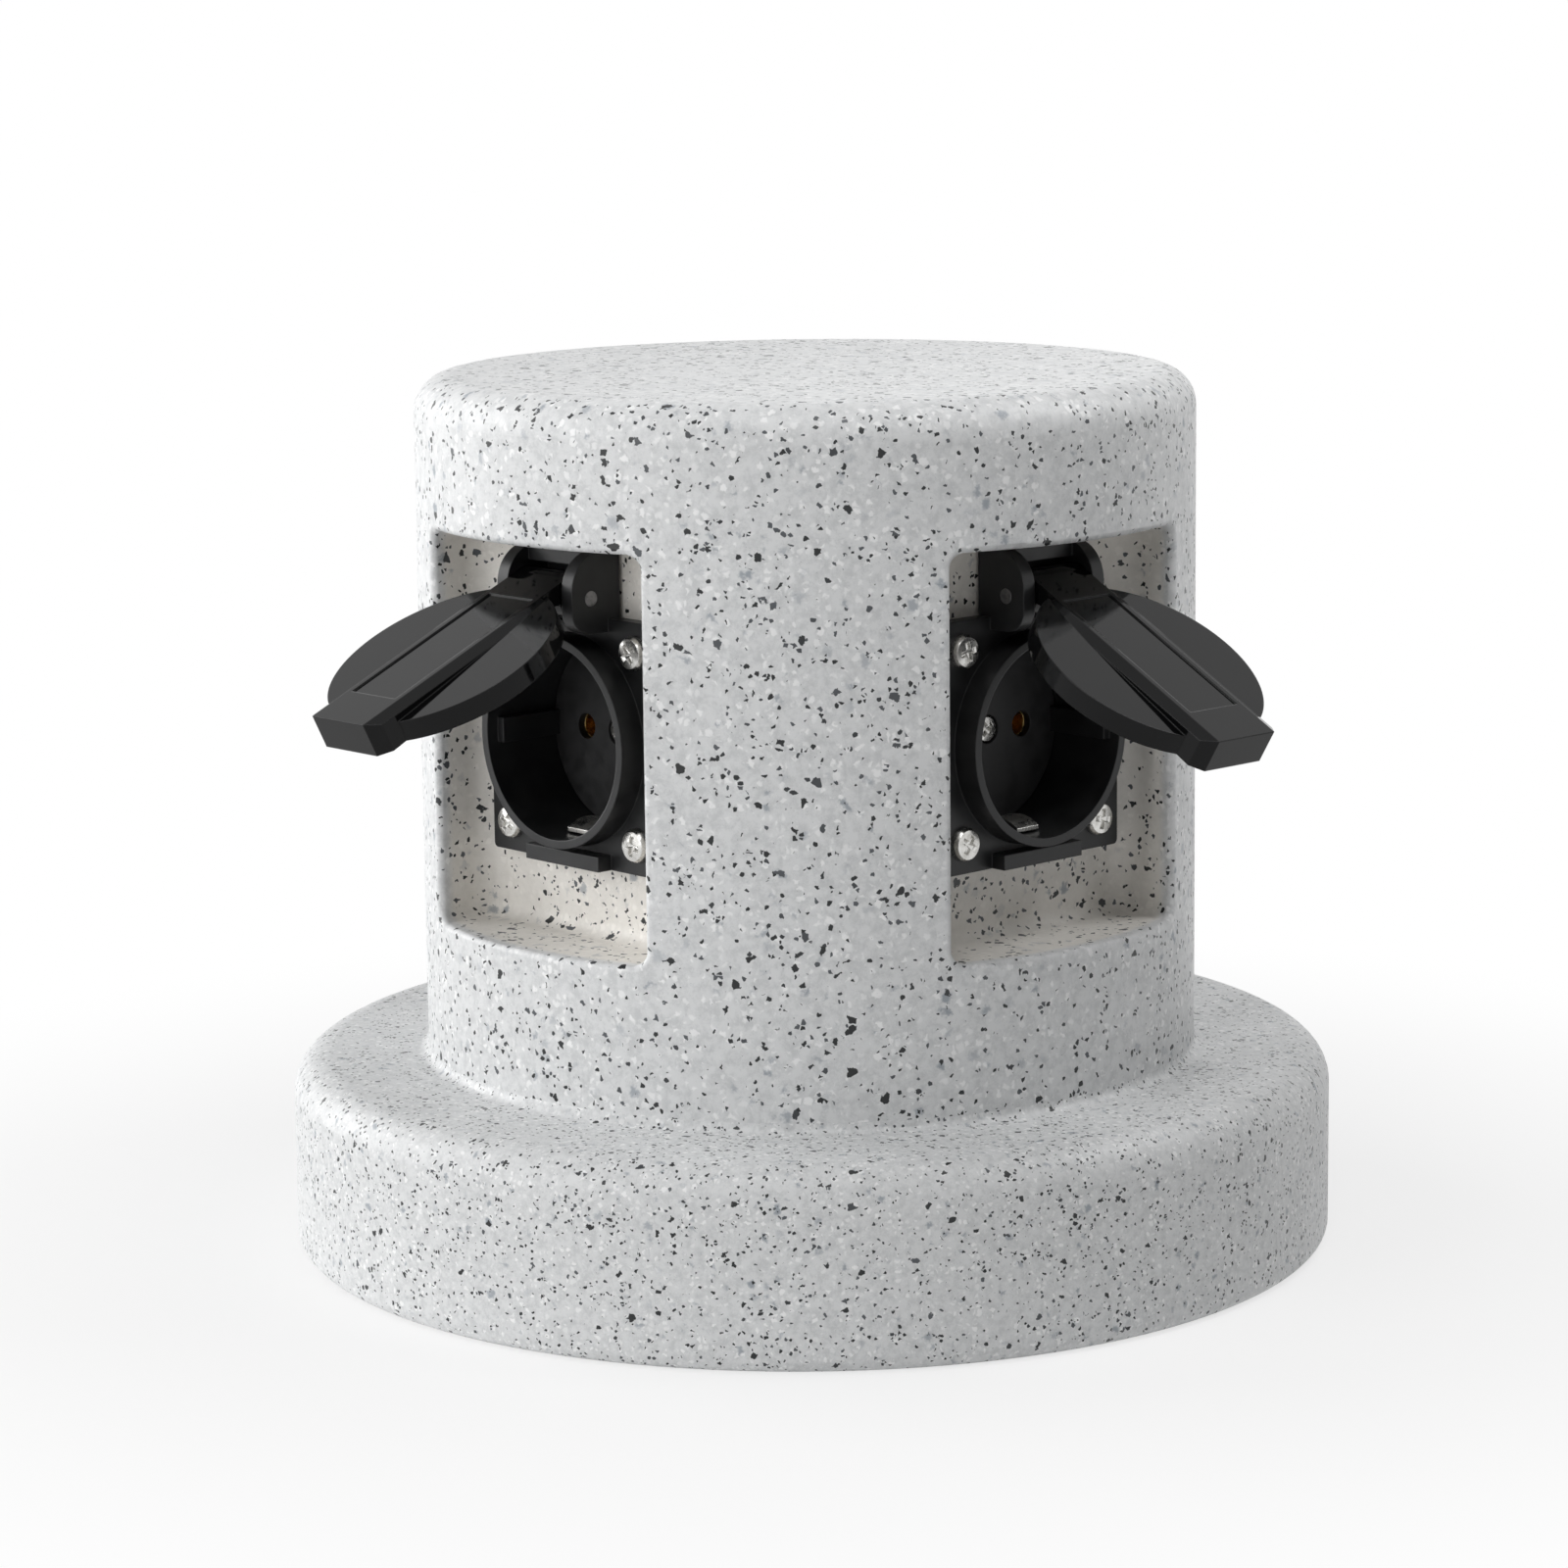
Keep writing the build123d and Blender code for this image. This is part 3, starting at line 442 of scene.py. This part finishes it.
def cross_head_screw(
    mesh, seat, outwards, turn, head_radius, head_height, crown, shank_radius, shank_length
):
    """Lathe one pan-head screw with a cross recess; seat is under its head, in millimetres."""
    half_width = CROSS_HALF_WIDTH * head_radius
    reach = CROSS_REACH * head_radius
    tip_turn = atan2(half_width, reach)
    between = pi / 2 - 2 * tip_turn
    turns = []
    for quarter in range(4):
        start = quarter * pi / 2
        turns += [start - tip_turn, start, start + tip_turn]
        turns += [start + tip_turn + between * s / HEAD_STEPS for s in range(1, HEAD_STEPS)]

    def cross_radius(angle):
        """How far the cross reaches from the middle at this turn."""
        along, aside = max(abs(cos(angle)), 1e-6), max(abs(sin(angle)), 1e-6)
        return max(min(reach / along, half_width / aside), min(reach / aside, half_width / along))

    def dome(radius):
        """The head's height at this distance from the middle."""
        return head_height - crown * (radius / head_radius) ** 2

    floor_height = head_height - CROSS_FLOOR_DEPTH * head_height
    wall_height = dome(0) - CROSS_WALL_DEPTH * head_height
    edge_drop = CROSS_EDGE_DROP * head_radius
    lip = CROSS_LIP * head_radius
    rings = [
        [(0.30 * cross_radius(a), floor_height) for a in turns],
        [(0.84 * cross_radius(a), wall_height) for a in turns],
        [(cross_radius(a), dome(cross_radius(a)) - edge_drop) for a in turns],
        [(cross_radius(a) + lip, dome(cross_radius(a))) for a in turns],
    ]
    flat_radius = HEAD_FLAT_RADIUS * head_radius
    for share in (0.55, 1.0):
        blended = [(cross_radius(a) + lip) * (1 - share) + flat_radius * share for a in turns]
        rings.append([(r, dome(r)) for r in blended])
    count = len(turns)
    for radius_share, height_share in HEAD_SIDE:
        side_height = height_share * (head_height - crown)
        rings.append([(radius_share * head_radius, side_height)] * count)
    rings.append([(shank_radius, 0.0)] * count)
    helix = [THREAD_PITCH * a / (2 * pi) for a in turns]
    for ridge in range(int(shank_length / THREAD_PITCH) - 1):
        top = -THREAD_PITCH * (ridge + 0.5)
        rings.append([(THREAD_ROOT * shank_radius, top - h) for h in helix])
        rings.append([(shank_radius, top - THREAD_PITCH / 2 - h) for h in helix])
    rings.append([(TIP_RADIUS * shank_radius, 0.6 * THREAD_PITCH - shank_length)] * count)

    seat = Vector(seat)
    axis = Vector(outwards).normalized()
    stand = axis.to_track_quat("Z", "Y") @ Quaternion((0, 0, 1), turn)
    in_cross = seat + axis * (head_height * CROSS_MIDDLE_HEIGHT)
    middle = mesh.verts.new(in_cross / MILLIMETRES)
    tip = mesh.verts.new((seat - axis * shank_length) / MILLIMETRES)
    made = []
    for ring in rings:
        places = [Vector((r * cos(a), r * sin(a), h)) for a, (r, h) in zip(turns, ring)]
        made.append([mesh.verts.new((seat + stand @ p) / MILLIMETRES) for p in places])
    for k in range(count):
        after = (k + 1) % count
        mesh.faces.new((middle, made[0][k], made[0][after]))
        mesh.faces.new((made[-1][k], tip, made[-1][after]))
        for upper, lower in zip(made, made[1:]):
            mesh.faces.new((upper[k], lower[k], lower[after], upper[after]))


def screw_set(name, replaced, sizes, seatings):
    """One piece for the screws of a CAD node; a seating is a seat, its way out and a turn."""
    mesh = bmesh.new()
    for seat, outwards, turn in seatings:
        cross_head_screw(mesh, seat, outwards, turn, **sizes)
    data = bpy.data.meshes.new(name)
    mesh.to_mesh(data)
    mesh.free()
    data.shade_smooth()
    data.set_sharp_from_angle(angle=HEAD_CREASE)
    data.materials.append(screw_steel)
    piece = bpy.data.objects.new(name, data)
    bpy.context.scene.collection.objects.link(piece)
    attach(piece, "post")
    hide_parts(replaced)


PLATE_SCREW_DISTANCE = 98.5
PLATE_SCREW_SEAT = 2.8
PLATE_SCREW = {
    "head_radius": 4.0,
    "head_height": 2.4,
    "crown": 0.5,
    "shank_radius": 2.0,
    "shank_length": 16.0,
}
plate_seatings = []
for quarter in range(4):
    seat_x = PLATE_SCREW_DISTANCE * cos(quarter * pi / 2)
    seat_y = PLATE_SCREW_DISTANCE * sin(quarter * pi / 2)
    turn = radians(17 + 31 * quarter)
    plate_seatings.append(((seat_x, seat_y, PLATE_SCREW_SEAT), (0, 0, -1), turn))
screw_set("cross_head_screws_base_plate", "base_plate_screws", PLATE_SCREW, plate_seatings)

# ---- Sockets ----
# Square flange, well, collar and hinge ears in one black glass-filled nylon moulding, satin and
# very finely grained, on a flat rubber gasket and held by four nickel-plated screws. A round
# carrier with brass sleeves and a sprung earth strap closes the well.

SIDES = ("front", "right", "rear", "left")
SOCKET_TURNS = {"front": 0.0, "right": pi / 2, "rear": pi, "left": -pi / 2}
SOCKET_HEIGHT = 111.0
FLANGE_FACE = 64.0
FLANGE_SCREW_SPACING = 38.0
FLANGE_SCREW = {
    "head_radius": 3.4,
    "head_height": 1.9,
    "crown": 0.45,
    "shank_radius": 1.5,
    "shank_length": 11.0,
}
WELL_FLOOR = 52.2
CARRIER_SCREW_SINK = 1.6
CARRIER_SCREW = {
    "head_radius": 2.8,
    "head_height": 1.6,
    "crown": 0.35,
    "shank_radius": 1.5,
    "shank_length": 10.4,
}

socket_nylon = moulded_plastic(
    "Socket nylon",
    colour=(0.0120, 0.0124, 0.0132, 1),
    cloudy=(0.0170, 0.0174, 0.0182, 1),
    rubbed=(0.0450, 0.0460, 0.0480, 1),
    grain=0.20,
    wave=5.0,
    depth=0.012,
    gloss=(0.33, 0.45),
    edge=0.35,
    Specular_IOR_Level=0.32,
)
gasket_rubber = moulded_plastic(
    "Gasket rubber",
    colour=(0.016, 0.016, 0.016, 1),
    cloudy=(0.030, 0.030, 0.029, 1),
    rubbed=(0.060, 0.059, 0.057, 1),
    grain=0.25,
    wave=4.0,
    depth=0.02,
    gloss=(0.66, 0.84),
    edge=0.15,
)
carrier_nylon = moulded_plastic(
    "Carrier nylon",
    colour=(0.014, 0.0142, 0.015, 1),
    cloudy=(0.024, 0.024, 0.025, 1),
    rubbed=(0.060, 0.060, 0.061, 1),
    grain=0.35,
    wave=3.0,
    depth=0.02,
    gloss=(0.44, 0.60),
    edge=0.25,
    Specular_IOR_Level=0.4,
)
sleeve_brass = bare_metal(
    "Contact brass",
    colour=(0.720, 0.510, 0.200, 1),
    dull=(0.480, 0.310, 0.120, 1),
    blotch=2.2,
    line=0.12,
    gloss=(0.22, 0.40),
    edge=0.2,
)
spring_strip = bare_metal(
    "Tinned spring strip",
    colour=(0.660, 0.655, 0.630, 1),
    dull=(0.520, 0.505, 0.470, 1),
    blotch=4.0,
    line=0.09,
    gloss=(0.22, 0.38),
    edge=0.2,
)
pin_steel = bare_metal(
    "Hinge pin steel",
    colour=(0.240, 0.240, 0.245, 1),
    dull=(0.150, 0.150, 0.155, 1),
    blotch=1.2,
    line=0.10,
    gloss=(0.30, 0.45),
    edge=0.2,
)


def on_side(side, across, distance, height):
    """A place given across, from the axis and above the floor at one of the four sides."""
    turn = SOCKET_TURNS[side]
    return (
        across * cos(turn) + distance * sin(turn),
        across * sin(turn) - distance * cos(turn),
        height,
    )


for side in SIDES:
    outwards = on_side(side, 0, 1, 0)
    dress(f"socket_body_{side}", socket_nylon)
    dress(f"flange_gasket_{side}", gasket_rubber)
    dress(f"contact_carrier_{side}", carrier_nylon)
    dress(f"contact_sleeves_{side}", sleeve_brass)
    dress(f"earth_clip_{side}", spring_strip)
    dress(f"hinge_pin_{side}", pin_steel)
    half = FLANGE_SCREW_SPACING / 2
    flange_seatings = []
    for corner, (x, z) in enumerate([(-half, half), (half, half), (-half, -half), (half, -half)]):
        seat = on_side(side, x, FLANGE_FACE, SOCKET_HEIGHT + z)
        flange_seatings.append((seat, outwards, radians(12 + 23 * corner)))
    screw_set(
        f"cross_head_screws_{side}", f"flange_screws_{side}", FLANGE_SCREW, flange_seatings
    )
    carrier_seat = on_side(side, 0, WELL_FLOOR - CARRIER_SCREW_SINK, SOCKET_HEIGHT)
    screw_set(
        f"cross_head_screw_carrier_{side}",
        f"carrier_screw_{side}",
        CARRIER_SCREW,
        [(carrier_seat, outwards, radians(40))],
    )

# ---- Lids ----
# Polished black ABS: a skirted disc with a bevelled bar across it and a bare sunken panel, hung
# from the hinge pin, and a soft rubber ring inside that closes on the collar.

lid_abs = moulded_plastic(
    "Lid ABS",
    colour=(0.0022, 0.0023, 0.0025, 1),
    cloudy=(0.0030, 0.0031, 0.0034, 1),
    rubbed=(0.0120, 0.0123, 0.0130, 1),
    grain=1.1,
    wave=8.0,
    depth=0.003,
    gloss=(0.05, 0.10),
    edge=0.35,
    Specular_IOR_Level=0.18,
)
for side in SIDES:
    dress(f"lid_{side}", lid_abs)
    dress(f"lid_seal_{side}", gasket_rubber)

# ---- Cable gland ----
# Black nylon gland at the back of the base, through which the supply cable enters: a body and a
# dome nut with hexagons, a lock nut inside the wall, a flat washer and a rubber seal.

gland_nylon = moulded_plastic(
    "Gland nylon",
    colour=(0.020, 0.020, 0.022, 1),
    cloudy=(0.028, 0.028, 0.030, 1),
    rubbed=(0.065, 0.065, 0.067, 1),
    grain=0.30,
    wave=7.0,
    depth=0.016,
    gloss=(0.36, 0.50),
    edge=0.5,
    Specular_IOR_Level=0.45,
)
for name in ("gland_body", "gland_lock_nut", "gland_dome_nut"):
    dress(name, gland_nylon)
dress("gland_washer", gasket_rubber)
dress("gland_seal", gasket_rubber)

# ---- Wiring ----
# Three splice connectors in pale grey polycarbonate with orange levers, and the sockets' single
# wires in PVC: brown for live, blue for neutral, green with a yellow stripe for earth.

connector_plastic = moulded_plastic(
    "Connector polycarbonate",
    colour=(0.480, 0.490, 0.480, 1),
    cloudy=(0.560, 0.565, 0.555, 1),
    rubbed=(0.740, 0.740, 0.730, 1),
    grain=0.6,
    wave=6.0,
    depth=0.010,
    gloss=(0.16, 0.28),
    edge=0.4,
)
lever_plastic = moulded_plastic(
    "Lever plastic",
    colour=(0.780, 0.190, 0.020, 1),
    cloudy=(0.840, 0.230, 0.030, 1),
    rubbed=(0.880, 0.380, 0.140, 1),
    grain=0.4,
    wave=4.0,
    depth=0.012,
    gloss=(0.30, 0.42),
    edge=0.25,
)
dress("connector_bodies", connector_plastic)
dress("connector_levers", lever_plastic)

for name, colour, cloudy in (
    ("live_wires", (0.125, 0.045, 0.020, 1), (0.160, 0.062, 0.028, 1)),
    ("neutral_wires", (0.020, 0.115, 0.440, 1), (0.030, 0.150, 0.520, 1)),
):
    wire_pvc = moulded_plastic(
        f"{name.replace('_', ' ').capitalize()} PVC",
        colour=colour,
        cloudy=cloudy,
        rubbed=cloudy,
        grain=0.5,
        wave=9.0,
        depth=0.015,
        gloss=(0.36, 0.50),
        edge=0.3,
    )
    dress(name, wire_pvc)

EARTH_GREEN = (0.020, 0.230, 0.050, 1)
EARTH_GREEN_CLOUDY = (0.030, 0.280, 0.060, 1)
EARTH_YELLOW = (0.760, 0.620, 0.030, 1)
STRIPE_DIRECTION = (0.62, 0.55, 0.56)
earth_pvc, earth_shader = new_material("Earth wires PVC")
tree = earth_pvc.node_tree
earth_skin = use_group(tree, mould_group, Place=place_in_millimetres(tree), Grain=0.5, Wave=9.0)
wire_side = add_node(tree, "ShaderNodeNewGeometry")
towards_stripe = vectors(tree, "DOT_PRODUCT", wire_side.outputs["Normal"], STRIPE_DIRECTION)
yellow = ramp(tree, towards_stripe, 0.12, 0.20)
clouds = ramp(tree, earth_skin["Patches"], 0.3, 0.7)
green = blend_colours(tree, clouds, EARTH_GREEN, EARTH_GREEN_CLOUDY)
tree.links.new(blend_colours(tree, yellow, green, EARTH_YELLOW), earth_shader.inputs["Base Color"])
dullness = ramp(tree, earth_skin["Patches"], 0.3, 0.7, bottom=0.36, top=0.50)
tree.links.new(dullness, earth_shader.inputs["Roughness"])
add_bump(tree, earth_shader, earth_skin["Height"], 0.015)
dress("earth_wires", earth_pvc)

# ---- Studio ----
# A pale floor that runs to the horizon, two large soft lamps at the left, small near ones at the
# right and above, and the camera at the height and distance from which the post was seen.

LOOK_POINT = Vector((0.0, 0.0, 0.1063))
CAMERA_DISTANCE = 0.9435
CAMERA_ELEVATION = radians(9.5)
CAMERA_ROLL = radians(-0.6)
CAMERA_SENSOR = 36.0
CAMERA_LENS = 104.4
CAMERA_SHIFT = (-0.0154, -0.0389)
CAMERA_REACH = 200.0
TOWARDS_CAMERA = Vector((0.728, -0.6855, 0.0)).normalized()
TOWARDS_RIGHT = Vector((0.6855, 0.728, 0.0)).normalized()
UP = Vector((0, 0, 1))
WORLD_LIGHT = 0.10
FLOOR_REACH = 40
SHADE_RADIUS = 100.0
WHITE_RADIUS = 300.0
SHADE_WHITENESS = 0.70


def seen_directly(tree):
    """1 where the camera looks, also in a mirror or through glass, 0 where light is gathered."""
    light_path = add_node(tree, "ShaderNodeLightPath").outputs
    mirrored = calculate(
        tree, "MAXIMUM", light_path["Is Glossy Ray"], light_path["Is Transmission Ray"]
    )
    return calculate(tree, "MAXIMUM", light_path["Is Camera Ray"], mirrored)


floor_material, floor_shader = new_material(
    "Pale floor", Base_Color=(0.90, 0.90, 0.90, 1), Roughness=0.85
)
tree = floor_material.node_tree
from_axis = height_and_distance(tree, place_in_millimetres(tree))[1]
whiteness = ramp(tree, from_axis, SHADE_RADIUS, WHITE_RADIUS, bottom=SHADE_WHITENESS, top=1.0)
glow = add_node(tree, "ShaderNodeEmission", inputs={"Strength": 1.0})
lit = add_node(tree, "ShaderNodeMixShader")
tree.links.new(calculate(tree, "MULTIPLY", seen_directly(tree), whiteness), lit.inputs[0])
tree.links.new(floor_shader.outputs[0], lit.inputs[1])
tree.links.new(glow.outputs[0], lit.inputs[2])
tree.links.new(lit.outputs[0], tree.nodes["Material Output"].inputs["Surface"])

floor_mesh = bpy.data.meshes.new("studio_floor")
floor_corners = [
    (FLOOR_REACH * x, FLOOR_REACH * y, 0) for x, y in ((-1, -1), (1, -1), (1, 1), (-1, 1))
]
floor_mesh.from_pydata(floor_corners, [], [(0, 1, 2, 3)])
floor_mesh.materials.append(floor_material)
floor = bpy.data.objects.new("studio_floor", floor_mesh)
bpy.context.scene.collection.objects.link(floor)

world = bpy.data.worlds.new("Studio")
bpy.context.scene.world = world
world.use_nodes = True
tree = world.node_tree
background = tree.nodes["Background"].inputs
background["Color"].default_value = (1, 1, 1, 1)
world_strength = ramp(tree, seen_directly(tree), 0, 1, bottom=WORLD_LIGHT, top=1.0)
tree.links.new(world_strength, background["Strength"])

# Each lamp's place (right, towards the camera, up) and size are metres, and its power is watts
for name, right, near, high, size, power in (
    ("left_front_lamp", -1.3, 0.9, 0.5, 1.2, 11.2),
    ("left_back_lamp", -1.4, -0.6, 0.5, 1.2, 17.0),
    ("right_lamp", 0.30, 0.0, 0.48, 0.2, 0.7),
    ("top_lamp", 0.0, 0.30, 0.60, 0.3, 0.9),
):
    lamp = bpy.data.lights.new(name, "AREA")
    lamp.shape = "SQUARE"
    lamp.size = size
    lamp.energy = power
    holder = bpy.data.objects.new(name, lamp)
    holder.location = TOWARDS_RIGHT * right + TOWARDS_CAMERA * near + UP * high
    to_post = LOOK_POINT - holder.location
    holder.rotation_euler = to_post.to_track_quat("-Z", "Y").to_euler()
    bpy.context.scene.collection.objects.link(holder)

camera = bpy.data.cameras.new("camera")
camera.sensor_width = CAMERA_SENSOR
camera.lens = CAMERA_LENS
camera.shift_x, camera.shift_y = CAMERA_SHIFT
camera.clip_end = CAMERA_REACH
camera_holder = bpy.data.objects.new("camera", camera)
towards = TOWARDS_CAMERA * cos(CAMERA_ELEVATION) + UP * sin(CAMERA_ELEVATION)
camera_holder.location = LOOK_POINT + towards * CAMERA_DISTANCE
level = (-towards).to_track_quat("-Z", "Y")
camera_holder.rotation_euler = (level @ Quaternion((0, 0, 1), CAMERA_ROLL)).to_euler()
bpy.context.scene.collection.objects.link(camera_holder)
bpy.context.scene.camera = camera_holder

bpy.context.scene.view_settings.view_transform = "Standard"
